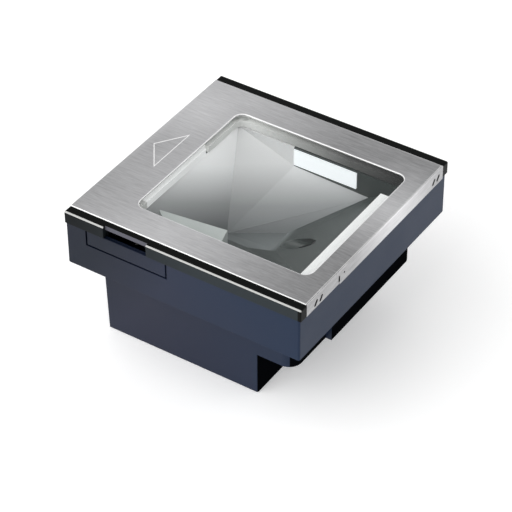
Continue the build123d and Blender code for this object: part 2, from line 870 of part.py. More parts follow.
# ---- Camera --------------------------------------------------------------------------------
with BuildPart() as camera_board:
    with BuildSketch(front_plane(camera_board_front)):
        with Locations((window_middle, camera_z)):
            RectangleRounded(camera_board_width, camera_board_height, camera_corner)
            with Locations((-camera_boss_offset, 0), (camera_boss_offset, 0)):
                Circle(screw_clearance_radius, mode=Mode.SUBTRACT)
    extrude(amount=board_thickness)
camera_board.part.label = "camera_board"
export_step(camera_board.part, "parts/camera_board.step")

with BuildPart() as image_sensor:
    with BuildSketch(front_plane(camera_board_front)):
        with Locations((window_middle, camera_z)):
            Rectangle(sensor_size, sensor_size)
    extrude(amount=-sensor_thickness)
image_sensor.part.label = "image_sensor"
export_step(image_sensor.part, "parts/image_sensor.step")

with BuildPart() as lens_mount:
    with BuildSketch(front_plane(camera_board_front)):
        with Locations((window_middle, camera_z)):
            RectangleRounded(lens_mount_size, lens_mount_size, camera_corner)
    extrude(amount=-lens_mount_depth)
    with BuildSketch(front_plane(camera_board_front)):
        with Locations((window_middle, camera_z)):
            Rectangle(sensor_size + 2 * sensor_room, sensor_size + 2 * sensor_room)
    extrude(amount=-barrel_stand_off + sensor_roof, mode=Mode.SUBTRACT)
    with BuildSketch(front_plane(camera_board_front)):
        with Locations((window_middle, camera_z)):
            Circle(barrel_radius + barrel_fit)
    extrude(amount=-lens_mount_depth, mode=Mode.SUBTRACT)
lens_mount.part.label = "lens_mount"
export_step(lens_mount.part, "parts/lens_mount.step")

barrel_start = camera_board_front + barrel_stand_off
barrel_end = barrel_start + barrel_length
with BuildPart() as lens_barrel:
    with BuildSketch(front_plane(barrel_start)):
        with Locations((window_middle, camera_z)):
            Circle(barrel_radius)
            Circle(lens_radius - lens_rim, mode=Mode.SUBTRACT)
    extrude(amount=-barrel_length)
    with BuildSketch(front_plane(barrel_end)):
        with Locations((window_middle, camera_z)):
            Circle(lens_radius + barrel_fit)
    extrude(amount=lens_thickness + lens_seat_depth, mode=Mode.SUBTRACT)
lens_barrel.part.label = "lens_barrel"
export_step(lens_barrel.part, "parts/lens_barrel.step")

with BuildPart() as camera_lens:
    with BuildSketch(front_plane(barrel_end - lens_seat_depth)):
        with Locations((window_middle, camera_z)):
            Circle(lens_radius)
    extrude(amount=lens_thickness)
camera_lens.part.label = "camera_lens"
export_step(camera_lens.part, "parts/camera_lens.step")

# ---- Main board ----------------------------------------------------------------------------
with BuildPart() as main_board:
    with BuildSketch(level(main_board_z)):
        round_span(board_left, board_right, board_front, board_back, main_board_corner)
        with Locations(*standoff_spots):
            Circle(screw_clearance_radius, mode=Mode.SUBTRACT)
    extrude(amount=board_thickness)
main_board.part.label = "main_board"
export_step(main_board.part, "parts/main_board.step")

processor_x = board_left + processor_left
processor_y = board_back - processor_behind
with BuildPart() as board_chips:
    for chip, along_x, along_y in (
        ("processor", 0, 0),
        ("memory", memory_offset, memory_rows[0]),
        ("memory", memory_offset, memory_rows[1]),
        ("supply", *supply_offset),
    ):
        width, depth, height = chip_sizes[chip]
        with BuildSketch(level(main_board_top)):
            with Locations((processor_x + along_x, processor_y + along_y)):
                Rectangle(width, depth)
        extrude(amount=height)
board_chips.part.label = "board_chips"
export_step(board_chips.part, "parts/board_chips.step")

with BuildPart() as power_capacitors:
    with BuildSketch(level(main_board_top)):
        with Locations((board_right - capacitor_inset, board_front + capacitor_row)):
            with GridLocations(0, capacitor_pitch, 1, 2):
                Circle(capacitor_radius)
    extrude(amount=capacitor_height)
power_capacitors.part.label = "power_capacitors"
export_step(power_capacitors.part, "parts/power_capacitors.step")

with BuildPart() as shield_can:
    with BuildSketch(level(main_board_top)):
        round_span(
            board_right - can_left,
            board_right - can_right,
            processor_y - can_front,
            processor_y + can_back,
            can_corner,
        )
    extrude(amount=can_height)
    with BuildSketch(level(main_board_top)):
        round_span(
            board_right - can_left + can_wall,
            board_right - can_right - can_wall,
            processor_y - can_front + can_wall,
            processor_y + can_back - can_wall,
            can_corner - can_wall,
        )
    extrude(amount=can_height - can_wall, mode=Mode.SUBTRACT)
shield_can.part.label = "shield_can"
export_step(shield_can.part, "parts/shield_can.step")

flex_middle = window_middle - flex_offset
flex_socket_y = board_front + flex_socket_row
flex_shelf = stage_floor + flex_rise
with BuildPart() as flex_socket:
    with BuildSketch(level(main_board_top)):
        span(
            flex_middle - flex_socket_width / 2,
            flex_middle + flex_socket_width / 2,
            flex_socket_y,
            flex_socket_y + flex_socket_depth,
        )
    extrude(amount=flex_socket_height)
flex_socket.part.label = "flex_socket"
export_step(flex_socket.part, "parts/flex_socket.step")

# Flat cable: down from the camera board, back over the stage's floor and down to its socket.
flex_drop_y = camera_board_front
flex_plug_y = flex_socket_y + flex_socket_depth / 2
flex_plug_z = main_board_top + flex_socket_height
camera_board_foot = camera_z - camera_board_height / 2
with BuildPart() as camera_flex:
    with BuildSketch(side_plane(flex_middle - flex_width / 2)):
        span(flex_drop_y, flex_drop_y + flex_thickness, flex_shelf, camera_board_foot + flex_lap)
        span(flex_drop_y, flex_plug_y, flex_shelf, flex_shelf + flex_thickness)
        span(flex_plug_y - flex_thickness, flex_plug_y, flex_plug_z, flex_shelf + flex_thickness)
    extrude(amount=flex_width)
camera_flex.part.label = "camera_flex"
export_step(camera_flex.part, "parts/camera_flex.step")

# ---- Ports ---------------------------------------------------------------------------------
for port_name, port, mouth in (("host_port", host_port, host_mouth), ("aux_port", aux_port, aux_mouth)):
    with BuildPart() as port_body:
        with BuildSketch(front_plane(box_front)):
            span(port[0], port[1], main_board_top, main_board_top + port[2])
        extrude(amount=-port_depth)
        mouth_middle = (port[0] + port[1]) / 2
        mouth_low = main_board_top + (port[2] - mouth[1]) / 2
        with BuildSketch(front_plane(box_front)):
            span(mouth_middle - mouth[0] / 2, mouth_middle + mouth[0] / 2, mouth_low, mouth_low + mouth[1])
        extrude(amount=-mouth[2], mode=Mode.SUBTRACT)
    port_body.part.label = port_name
    export_step(port_body.part, f"parts/{port_name}.step")

jack_middle = (power_jack[0] + power_jack[1]) / 2
jack_axis_z = main_board_top + power_jack[2] / 2
with BuildPart() as power_inlet:
    with BuildSketch(front_plane(box_front)):
        span(power_jack[0], power_jack[1], main_board_top, main_board_top + power_jack[2])
    extrude(amount=-power_jack_depth)
    with BuildSketch(front_plane(box_front)):
        with Locations((jack_middle, jack_axis_z)):
            Circle(power_hole_radius)
            Circle(power_pin_radius, mode=Mode.SUBTRACT)
    extrude(amount=-power_hole_depth, mode=Mode.SUBTRACT)
power_inlet.part.label = "power_inlet"
export_step(power_inlet.part, "parts/power_inlet.step")

# ---- Push button and switch ----------------------------------------------------------------
flange_face = box_front + lower_wall
with BuildPart() as push_button:
    with BuildSketch(front_plane(flange_face)):
        with Locations((button_x, button_z)):
            Circle(button_radius)
    extrude(amount=lower_wall + button_proud)
    chamfer(push_button.edges().group_by(Axis.Y)[0], length=button_chamfer)
    with BuildSketch(front_plane(flange_face)):
        with Locations((button_x, button_z)):
            Circle(button_flange_radius)
    extrude(amount=-button_flange)
push_button.part.label = "push_button"
export_step(push_button.part, "parts/push_button.step")

switch_face = flange_face + button_flange + button_travel + switch_gap
switch_body_face = switch_face + switch_plunger_length
with BuildPart() as button_switch:
    with BuildSketch(level(main_board_top)):
        span(
            button_x - switch_width / 2,
            button_x + switch_width / 2,
            switch_body_face,
            switch_body_face + switch_depth,
        )
    extrude(amount=button_z + switch_rise - main_board_top)
    with BuildSketch(front_plane(switch_body_face)):
        with Locations((button_x, button_z)):
            Circle(switch_plunger_radius)
    extrude(amount=switch_plunger_length)
button_switch.part.label = "button_switch"
export_step(button_switch.part, "parts/button_switch.step")

# ---- Speaker -------------------------------------------------------------------------------
speaker_front = stage_front + lower_wall
with BuildPart() as speaker:
    with BuildSketch(level(stage_floor)):
        round_span(
            speaker_left,
            speaker_left + speaker_length,
            speaker_front,
            speaker_front + speaker_width,
            speaker_corner,
        )
    extrude(amount=speaker_height)
    with BuildSketch(level(stage_floor)):
        round_span(
            speaker_left + speaker_rim,
            speaker_left + speaker_length - speaker_rim,
            speaker_front + speaker_rim,
            speaker_front + speaker_width - speaker_rim,
            speaker_corner - speaker_rim / 2,
        )
    extrude(amount=speaker_cone_depth, mode=Mode.SUBTRACT)
speaker.part.label = "speaker"
export_step(speaker.part, "parts/speaker.step")

# ---- Screws --------------------------------------------------------------------------------
for screw_name, spots, seat, length in (
    ("housing_screws", boss_spots, housing_floor, housing_screw_length),
    ("tub_screws", ear_spots, ear_top, tub_screw_length),
    ("board_screws", standoff_spots, main_board_top, board_screw_length),
):
    with BuildPart() as screws:
        with BuildSketch(level(seat)):
            with Locations(*spots):
                Circle(screw_radius)
        extrude(amount=-length)
        with BuildSketch(level(seat)):
            with Locations(*spots):
                Circle(screw_head_radius)
        extrude(amount=screw_head_height)
        with BuildSketch(level(seat + screw_head_height)):
            with Locations(*spots):
                RegularPolygon(screw_socket_radius, 6)
        extrude(amount=-screw_socket_depth, mode=Mode.SUBTRACT)
    screws.part.label = screw_name
    export_step(screws.part, f"parts/{screw_name}.step")

with BuildPart() as camera_screws:
    with BuildSketch(front_plane(camera_board_back)):
        with Locations(
            (window_middle - camera_boss_offset, camera_z), (window_middle + camera_boss_offset, camera_z)
        ):
            Circle(screw_radius)
    extrude(amount=-camera_screw_length)
    with BuildSketch(front_plane(camera_board_back)):
        with Locations(
            (window_middle - camera_boss_offset, camera_z), (window_middle + camera_boss_offset, camera_z)
        ):
            Circle(small_screw_head_radius)
    extrude(amount=small_screw_head_height)
camera_screws.part.label = "camera_screws"
export_step(camera_screws.part, "parts/camera_screws.step")
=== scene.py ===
import json
import math

import bmesh
import bpy
from bpy.props import FloatProperty, FloatVectorProperty, IntProperty, PointerProperty
from mathutils import Matrix, Vector

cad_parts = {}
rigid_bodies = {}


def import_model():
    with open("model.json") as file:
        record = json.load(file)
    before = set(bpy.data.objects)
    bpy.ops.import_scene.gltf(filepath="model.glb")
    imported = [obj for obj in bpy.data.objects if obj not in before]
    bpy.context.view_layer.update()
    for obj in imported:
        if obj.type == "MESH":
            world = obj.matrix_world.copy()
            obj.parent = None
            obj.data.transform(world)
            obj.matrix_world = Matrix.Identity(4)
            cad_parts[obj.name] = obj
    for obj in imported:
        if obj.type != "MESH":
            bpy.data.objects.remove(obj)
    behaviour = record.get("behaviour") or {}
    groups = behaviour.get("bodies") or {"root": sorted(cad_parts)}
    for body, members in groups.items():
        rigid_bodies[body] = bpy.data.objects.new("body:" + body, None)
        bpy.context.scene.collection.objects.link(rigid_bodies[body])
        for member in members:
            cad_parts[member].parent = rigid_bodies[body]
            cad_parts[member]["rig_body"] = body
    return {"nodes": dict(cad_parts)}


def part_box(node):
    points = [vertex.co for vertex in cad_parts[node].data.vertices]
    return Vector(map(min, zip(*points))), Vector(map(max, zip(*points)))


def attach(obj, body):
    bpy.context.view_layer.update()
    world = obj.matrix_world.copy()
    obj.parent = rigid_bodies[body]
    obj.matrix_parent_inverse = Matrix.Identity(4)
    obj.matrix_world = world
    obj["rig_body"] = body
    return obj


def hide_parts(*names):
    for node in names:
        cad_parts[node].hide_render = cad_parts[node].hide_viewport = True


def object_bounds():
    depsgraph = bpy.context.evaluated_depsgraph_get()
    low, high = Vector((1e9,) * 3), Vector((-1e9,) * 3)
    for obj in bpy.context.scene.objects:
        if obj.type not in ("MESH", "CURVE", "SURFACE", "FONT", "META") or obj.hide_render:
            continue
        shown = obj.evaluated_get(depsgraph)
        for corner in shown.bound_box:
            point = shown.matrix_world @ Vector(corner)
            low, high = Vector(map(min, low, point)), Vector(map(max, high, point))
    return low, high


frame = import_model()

bl_info = {
    "name": "Flatbed barcode scanner",
    "version": (1, 0, 0),
    "blender": (4, 5, 0),
    "location": "3D View > Sidebar > Scanner",
    "description": "Finishes a drop-in checkout scanner: steel top, satin housing, mirrors, boards",
    "category": "Object",
}

CAD_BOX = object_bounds()
MM = 0.001
# Painted reflection: places on the sheet painted brighter where the lamps would reflect, each with
# its reach, in metres.
PAINTED_REFLECTIONS = (
    ((0.04, 0.062, 0.096), 0.085),
    ((-0.058, 0.016, 0.096), 0.08),
    ((0.02, -0.07, 0.096), 0.045),
)
# Softboxes: the way to each from the scanner's middle, its distance and its width, in metres.
KEY_LAMP = ((-0.64, 0.41, 0.66), 1.3, 1.8)
FILL_LAMP = ((0.66, -0.70, 0.42), 1.4, 0.8)
# Folds in degrees: a sheet's cut edges turn more than the first, its pressed mark more than the
# second, and flats that meet at less than the third are one smooth surface.
CUT_FOLD, PRESSED_FOLD, SMOOTH_FOLD = 40, 4, 20


# ---- Shader helpers ----------------------------------------------------------------------------
class Signal:
    """A shader socket in arithmetic: each step adds a Math node to its material."""

    def __init__(self, finish, socket):
        self.finish = finish
        self.socket = socket

    def _math(self, operation, first, second):
        return self.finish.add("Math", {"operation": operation}, {0: first, 1: second})

    def __add__(self, other):
        return self._math("ADD", self, other)

    __radd__ = __add__

    def __sub__(self, other):
        return self._math("SUBTRACT", self, other)

    def __rsub__(self, other):
        return self._math("SUBTRACT", other, self)

    def __mul__(self, other):
        return self._math("MULTIPLY", self, other)

    __rmul__ = __mul__

    def __gt__(self, other):
        return self._math("GREATER_THAN", self, other)

    def __lt__(self, other):
        return self._math("LESS_THAN", self, other)

    def __abs__(self):
        return self._math("ABSOLUTE", self, 0.0)


class Finish:
    """A material while its nodes are being added."""

    def __init__(self, name):
        self.material = bpy.data.materials.new(name)
        self.material.use_nodes = True
        self.nodes = self.material.node_tree.nodes
        self.links = self.material.node_tree.links
        self.nodes.clear()

    def add(self, kind, settings=(), inputs=(), output=0):
        """Adds one node: its settings first, then the values or links of its sockets."""
        node = self.nodes.new("ShaderNode" + kind)
        for key, value in dict(settings).items():
            if key == "stops":
                ramp = node.color_ramp.elements
                while len(ramp) < len(value):
                    ramp.new(0.5)
                for stop, (position, colour) in zip(ramp, value):
                    stop.position = position
                    stop.color = colour
            else:
                setattr(node, key, value)
        for key, value in dict(inputs).items():
            if isinstance(value, Signal):
                self.links.new(value.socket, node.inputs[key])
            else:
                node.inputs[key].default_value = value
        return None if output is None else Signal(self, node.outputs[output])

    def place(self, scale=(1, 1, 1)):
        """Object coordinates, scaled."""
        here = self.add("TexCoord", output="Object")
        return self.add("Mapping", inputs={"Vector": here, "Scale": scale})

    def noise(self, vector, scale, detail=2.0, roughness=0.5):
        """Soft noise from 0 to 1; scale is in patches per metre."""
        inputs = {"Vector": vector, "Scale": scale, "Detail": detail, "Roughness": roughness}
        return self.add("TexNoise", inputs=inputs)

    def ramp(self, factor, stops):
        """Grey levels along a factor, as pairs of place and level."""
        greys = [(place, (level, level, level, 1)) for place, level in stops]
        return self.add("ValToRGB", {"stops": greys}, {"Fac": factor})

    def axes(self, vector):
        """The three parts of a vector."""
        split = self.add("SeparateXYZ", inputs={0: vector})
        outputs = split.socket.node.outputs
        return [Signal(self, outputs[index]) for index in range(3)]

    def along(self, vector, direction, start, end):
        """Distance along a direction, as 0 at the start and 1 at the end."""
        dot = self.add("VectorMath", {"operation": "DOT_PRODUCT"}, {0: vector, 1: direction}, 1)
        return (dot - start) * (1 / (end - start))

    def near(self, vector, point, reach):
        """1 at a point, falling softly to 0 at its reach."""
        gap = self.add("VectorMath", {"operation": "DISTANCE"}, {0: vector, 1: point}, 1)
        fall = 1 - gap * (1 / reach)
        return self.ramp(fall, ((0.0, 0.0), (0.5, 0.5), (1.0, 1.0)))

    def between(self, factor, first, second):
        """Colour mix."""
        colours = {0: factor, 6: first, 7: second}
        return self.add("Mix", {"data_type": "RGBA"}, colours, 2)

    def bump(self, height, distance, strength=1.0):
        """Normal from a height; distance is in metres."""
        inputs = {"Height": height, "Distance": distance, "Strength": strength}
        return self.add("Bump", inputs=inputs)

    def principled(self, **inputs):
        """A Principled shader; underscores in socket names stand for spaces."""
        named = {key.replace("_", " "): value for key, value in inputs.items()}
        return self.add("BsdfPrincipled", inputs=named)

    def done(self, shader):
        """Links the shader to the output and returns the material."""
        self.add("OutputMaterial", inputs={"Surface": shader}, output=None)
        return self.material


def solid(colour):
    """A colour with full alpha."""
    return (*colour, 1.0)


def shade(colour, factor):
    """A darker or lighter version of a colour."""
    return (*(channel * factor for channel in colour), 1.0)


# ---- Finishes ----------------------------------------------------------------------------------
def brushed_steel(settings):
    """Stainless steel brushed from the operator's side to the back, and on down the fold, with
    painted reflection spots and painted highlights on its eased edges.
    """
    f = Finish("brushed_steel")
    here = f.place()
    stretch = settings.streak_stretch
    along_top = f.place((1.0, stretch, stretch))
    along_fold = f.place((stretch, 1.0, 1.0))
    facing = f.add("NewGeometry", output="Normal")
    fold = f.axes(facing)[1] < -0.5
    fine_share, coarse_share = 0.65, 0.35
    brushed = [
        f.noise(way, settings.streak_density, 3.0, 0.7) * fine_share
        + f.noise(way, settings.streak_density * 0.3, 2.0, 0.6) * coarse_share
        for way in (along_top, along_fold)
    ]
    streaks = brushed[0] * (1 - fold) + brushed[1] * fold
    tone = f.ramp(streaks, ((0.3, 0.0), (0.7, 1.0)))
    # Painted reflection: the sheet is painted brighter near these spots and darker away from them.
    painted_reflection = sum(f.near(here, point, reach) for point, reach in PAINTED_REFLECTIONS)
    painted_dim_steel = f.between(tone, shade(settings.steel_colour, 0.5), shade(settings.steel_colour, 0.92))
    painted_lit_steel = f.between(tone, shade(settings.steel_colour, 1.2), shade(settings.steel_colour, 1.6))
    colour = f.between(painted_reflection, painted_dim_steel, painted_lit_steel)
    # Painted highlight: the eased edges are painted near-white, partly polish with less metal and
    # lower roughness.
    edge = f.add("Attribute", {"attribute_name": "polish"}, output="Fac")
    painted_highlight_white = solid((0.99, 0.99, 0.99))
    shader = f.principled(
        Base_Color=f.between(edge, colour, painted_highlight_white),
        Metallic=1 - edge * 0.6,
        Roughness=(streaks * 0.22 + (settings.steel_roughness - 0.1)) * (1 - edge * 0.3),
        Normal=f.bump(streaks, 0.00004, 0.35),
    )
    return f.done(shader)


def plastic(f, colour, roughness, grain=0.00002, specular=0.5):
    """Moulded plastic from a colour: a fine eroded grain and a little uneven gloss."""
    here = f.place()
    spark = f.noise(here, 2600.0, 3.0, 0.6)
    patch = f.noise(here, 45.0, 3.0, 0.55)
    return f.principled(
        Base_Color=colour,
        Roughness=patch * 0.1 + spark * 0.06 + (roughness - 0.08),
        Specular_IOR_Level=specular,
        Normal=f.bump(spark, grain, 0.5),
    )


def moulded(name, colour, roughness, grain=0.00002, specular=0.5, mottle=0.1):
    """Plain moulded plastic, faintly mottled."""
    f = Finish(name)
    patch = f.noise(f.place(), 45.0, 3.0, 0.55)
    mottled = f.between(patch, shade(colour, 1 - mottle), shade(colour, 1 + mottle))
    return f.done(plastic(f, mottled, roughness, grain, specular))


def painted_well_light(f, settings, here):
    """Painted light around the window's well: pale at the back, fading towards the operator."""
    light_rise = f.along(here, (0.1, 1.0, 0.0), -0.055, 0.05)
    well_light_fade = f.ramp(light_rise, ((0.0, 0.0), (0.3, 0.12), (0.6, 0.45), (1.0, 1.0)))
    return f.between(well_light_fade, solid(settings.well_low_colour), solid(settings.well_high_colour))


def cover_plastic(settings):
    """Black cover: painted highlights along its outer edges and lip, painted light in the window's
    well, and painted shade on its sides towards the back.
    """
    f = Finish("cover_black")
    here = f.place()
    x, y, z = f.axes(here)
    low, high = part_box("cover_frame")
    left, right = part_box("window_glass")
    # Painted highlight: a pale bead along the top outer edges.
    bead = settings.bead_width
    bead_highlight_mask = (abs(x) > high.x - bead) * (z > high.z - bead * 1.15)
    well = (x > left.x - MM) * (x < right.x + MM) * (y > left.y - MM) * (y < right.y + MM)
    lip_low, lip_high = high.z - 3.1 * MM, high.z - 0.25 * MM
    notch = (x < 0) * (x > low.x + MM) * (z > lip_low) * (z < lip_high)
    notch = notch * (y > settings.notch_front) * (y < settings.notch_back)
    # Painted shade: the sides darken to a quarter towards the back.
    sweep = f.along(here, (0.0, -1.0, 0.0), -0.07, 0.01)
    side = f.between(
        f.ramp(sweep, ((0.0, 0.0), (1.0, 1.0))),
        shade(settings.side_colour, 0.25),
        solid(settings.side_colour),
    )
    sheet_seat = high.z - 0.95 * MM
    behind_fold = y < low.y + 2 * MM
    sides = (z < sheet_seat) * (1 - behind_fold)
    base = f.between(sides, solid(settings.band_colour), side)
    # Painted light inside the window's well.
    base = f.between(well, base, painted_well_light(f, settings, here))
    # Painted highlight: grey on the black face above the finger notch.
    base = f.between(notch * (1 - well), base, solid(settings.lip_colour))
    base = f.between(bead_highlight_mask, base, solid(settings.bead_colour))
    return f.done(plastic(f, base, 0.36, 0.000008, 0.06))


def gasket_rubber(settings):
    """Soft black gasket with painted light along its visible rim."""
    f = Finish("gasket_black")
    return f.done(plastic(f, painted_well_light(f, settings, f.place()), 0.6, 0.00001, 0.2))


def housing_plastic(settings):
    """Slate-blue satin, deeper in front; painted shade darkens the far left corner and paints the
    low front walls black.
    """
    f = Finish("housing_satin")
    here = f.place()
    z = f.axes(here)[2]
    patch = f.noise(here, 30.0, 3.0, 0.55)
    sweep = f.along(here, (0.0, -1.0, 0.25), -0.03, 0.085) + patch * 0.3 - 0.15
    blend = f.ramp(sweep, ((0.0, 0.0), (1.0, 1.0)))
    tone = f.between(blend, solid(settings.housing_colour), solid(settings.housing_near_colour))
    # Painted shade: the far left corner darkens to a near-black navy.
    corner = f.along(here, (-0.35, 1.0, 0.6), 0.08, 0.15)
    corner = f.ramp(corner, ((0.0, 0.0), (0.7, 1.0), (1.0, 1.0)))
    tone = f.between(corner, tone, solid(settings.housing_far_colour))
    facing = f.add("NewGeometry", output="Normal")
    # Painted shade: the low front walls are painted matte black.
    front = (f.axes(facing)[1] < -0.55) * (z < settings.black_below)
    satin = plastic(f, tone, settings.housing_roughness, 0.000012, 0.2)
    shade_matte = plastic(f, solid(settings.front_wall_colour), 0.8, 0.000012, 0.0)
    return f.done(f.add("MixShader", inputs={0: front, 1: satin, 2: shade_matte}))


def painted_mirror_coating(name, settings, start, painted_light_gain):
    """Front-surface coating on satin plates, with painted reflection: it pales from a start towards
    the well's top, brightened by a gain.
    """
    f = Finish(name)
    here = f.place()
    haze = f.noise(here, 60.0, 4.0, 0.6)
    light_rise = f.along(here, (0.54, 0.35, 0.77), start, 0.105)
    stops = ((0.0, 0.0), (0.25, 0.2), (0.45, 0.5), (0.7, 0.9), (1.0, 1.0))
    tone = f.between(
        f.ramp(light_rise, stops), solid(settings.mirror_low_colour), shade(settings.mirror_colour, painted_light_gain)
    )
    shader = f.principled(
        Base_Color=tone,
        Metallic=settings.mirror_metal,
        Roughness=haze * 0.06 + (settings.mirror_roughness - 0.03),
    )
    return f.done(shader)


def tub_plastic(settings):
    """Black tub: painted light on the sill under the mirrors, and painted light, white, behind the
    diffuser bar.
    """
    f = Finish("tub_black")
    x, y, z = f.axes(f.place())
    sill_front, sill_top, white_left = -0.016, 0.062, 0.04
    # Painted light: the tub is painted lighter below the mirrors and white behind the diffuser bar.
    sill = f.ramp((y - sill_front) * 250, ((0.0, 0.0), (1.0, 1.0))) * (z < sill_top)
    tone = f.between(sill, solid(settings.tub_colour), solid(settings.sill_colour))
    diffuser_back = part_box("diffuser_bar")[1].y
    painted_light_behind_bar = (x > white_left) * (y > diffuser_back)
    tone = f.between(painted_light_behind_bar, tone, solid(settings.mirror_colour))
    return f.done(plastic(f, tone, 0.38, 0.00001))


def opal_diffuser(settings):
    """Opal plastic, lit from behind."""
    f = Finish("diffuser_opal")
    cloud = f.noise(f.place(), 90.0, 2.0)
    colour = solid(settings.diffuser_colour)
    shader = f.principled(
        Base_Color=f.between(cloud, shade(settings.diffuser_colour, 0.97), colour),
        Roughness=cloud * 0.06 + 0.28,
        Emission_Color=colour,
        Emission_Strength=settings.diffuser_glow,
    )
    return f.done(shader)


def white_light_pipe(settings):
    """Clear plastic over white, with a painted glow."""
    f = Finish("light_pipe_white")
    cloud = f.noise(f.place(), 120.0, 2.0)
    white = solid(settings.strip_colour)
    shader = f.principled(
        Base_Color=white,
        Roughness=cloud * 0.06 + 0.2,
        Emission_Color=white,
        Emission_Strength=settings.pipe_glow,
    )
    return f.done(shader)


def clear_window(settings):
    """Hard-coated flat glass: tinted where it is seen through, mirroring by angle."""
    f = Finish("window_glass_clear")
    smear = f.noise(f.place(), 30.0, 3.0, 0.6)
    through = f.add("BsdfTransparent", inputs={"Color": solid(settings.glass_tint)})
    gloss = f.add("BsdfGlossy", inputs={"Roughness": smear * 0.03 + 0.01})
    angle = f.add("Fresnel", inputs={"IOR": 1.5})
    inside = f.add("NewGeometry", output="Backfacing")
    share = angle * (1 - inside)
    return f.done(f.add("MixShader", inputs={0: share, 1: through, 2: gloss}))


def metal(name, colour, roughness, scale=900.0):
    """Plated or turned metal with a fine uneven grain."""
    f = Finish(name)
    grain = f.noise(f.place(), scale, 3.0, 0.6)
    shader = f.principled(
        Base_Color=f.between(grain, shade(colour, 0.85), shade(colour, 1.1)),
        Metallic=1.0,
        Roughness=grain * 0.15 + (roughness - 0.07),
        Normal=f.bump(grain, 0.00002, 0.3),
    )
    return f.done(shader)


def circuit_board(settings):
    """Solder mask over copper: fine routed lines, and tinned vias."""
    f = Finish("circuit_board_mask")
    here = f.place()
    cells = f.add(
        "TexVoronoi", {"distance": "MANHATTAN"}, {"Vector": here, "Scale": 420.0}, "Distance"
    )
    routes = f.add(
        "TexWave", {"bands_direction": "DIAGONAL"}, {"Vector": here, "Scale": 330.0}, "Fac"
    )
    blocks = f.noise(here, 110.0, 1.0)
    lines = (routes > 0.62) * (blocks > 0.46)
    vias = cells < 0.11
    mask = f.between(lines, shade(settings.board_colour, 0.8), shade(settings.board_colour, 1.5))
    tin = solid((0.62, 0.6, 0.55))
    colour = f.between(vias, mask, tin)
    shader = f.principled(
        Base_Color=colour,
        Metallic=vias * 0.9,
        Roughness=0.38 - vias * 0.1,
        Normal=f.bump(lines + vias, 0.00003, 0.6),
    )
    return f.done(shader)


# ---- Mesh helpers ------------------------------------------------------------------------------
def eased_rim_with_highlight(made, above, width):
    """Eases the outlines that lie above a level, and marks the new faces as polished and for a
    painted highlight.
    """
    polish = made.faces.layers.float.new("polish")
    passes = ((CUT_FOLD, 180, width), (PRESSED_FOLD, CUT_FOLD, width * 0.6))
    for least, most, offset in passes:
        made.edges.ensure_lookup_table()
        outline = [
            edge
            for edge in made.edges
            if min(vert.co.z for vert in edge.verts) > above
            and math.radians(least) < edge.calc_face_angle(0) < math.radians(most)
            and not any(face[polish] for face in edge.link_faces)
        ]
        eased = bmesh.ops.bevel(
            made,
            geom=outline,
            offset=offset,
            offset_type="OFFSET",
            affect="EDGES",
            segments=2,
            profile=0.5,
            material=-1,
            clamp_overlap=False,
        )
        for face in eased["faces"]:
            face[polish] = 1.0


def refine(node, name, material, width=0.0, rim_above=None):
    """A merged copy of a CAD node that stands for it, all its edges or its top rim eased."""
    source = frame["nodes"][node]
    mesh = source.data.copy()
    mesh.name = name
    made = bmesh.new()
    made.from_mesh(mesh)
    bmesh.ops.remove_doubles(made, verts=made.verts, dist=0.000002)
    bmesh.ops.dissolve_limit(
        made,
        angle_limit=math.radians(0.6),
        use_dissolve_boundaries=False,
        verts=made.verts,
        edges=made.edges,
        delimit={"NORMAL"},
    )
    if rim_above is not None:
        eased_rim_with_highlight(made, rim_above, width)
    made.to_mesh(mesh)
    made.free()
    piece = bpy.data.objects.new(name, mesh)
    bpy.context.scene.collection.objects.link(piece)
    mesh.materials.clear()
    mesh.materials.append(material)
    mesh.shade_smooth()
    modified = width and rim_above is None
    mesh.set_sharp_from_angle(angle=math.radians(180 if modified else SMOOTH_FOLD))
    if modified:
        bevel = piece.modifiers.new("edges", "BEVEL")
        bevel.width = width
        bevel.segments = 2
        bevel.limit_method = "ANGLE"
        bevel.angle_limit = math.radians(28)
        weigh = piece.modifiers.new("flats", "WEIGHTED_NORMAL")
        weigh.keep_sharp = True
    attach(piece, source["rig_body"])
    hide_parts(node)
    return piece


def dress(material, *nodes):
    """Gives CAD nodes that stay shown a finish."""
    for node in nodes:
        mesh = frame["nodes"][node].data
        mesh.materials.clear()
        mesh.materials.append(material)


def new_piece(made, name, material, body):
    """Turns a bmesh into a piece that rides on a CAD body."""
    bmesh.ops.recalc_face_normals(made, faces=made.faces)
    mesh = bpy.data.meshes.new(name)
    made.to_mesh(mesh)
    made.free()
    mesh.materials.append(material)
    mesh.shade_smooth()
    mesh.set_sharp_from_angle(angle=math.radians(35))
    piece = bpy.data.objects.new(name, mesh)
    bpy.context.scene.collection.objects.link(piece)
    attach(piece, body)
    return piece


def add_block(made, low, high, edge):
    """A block between two corners, its edges bevelled, into a bmesh."""
    low, high = Vector(low), Vector(high)
    size = high - low
    place = Matrix.Translation((low + high) / 2) @ Matrix.Diagonal((*size, 1))
    block = bmesh.ops.create_cube(made, size=1.0, matrix=place)
    edges = list({e for v in block["verts"] for e in v.link_edges})
    bmesh.ops.bevel(
        made,
        geom=edges,
        offset=edge,
        offset_type="OFFSET",
        affect="EDGES",
        segments=2,
        profile=0.5,
        material=-1,
        clamp_overlap=True,
    )


# ---- Settings ----------------------------------------------------------------------------------
def colour_property(name, description, default):
    """A colour that a user may change."""
    return FloatVectorProperty(
        name=name, description=description, default=default, subtype="COLOR", size=3, min=0, max=1
    )


def share_property(name, description, default):
    """A value from 0 to 1 that a user may change."""
    return FloatProperty(
        name=name, description=description, default=default, min=0, max=1, subtype="FACTOR"
    )


def length_property(name, description, default):
    """A length in metres that a user may change."""
    return FloatProperty(
        name=name, description=description, default=default, min=0, unit="LENGTH", precision=5
    )


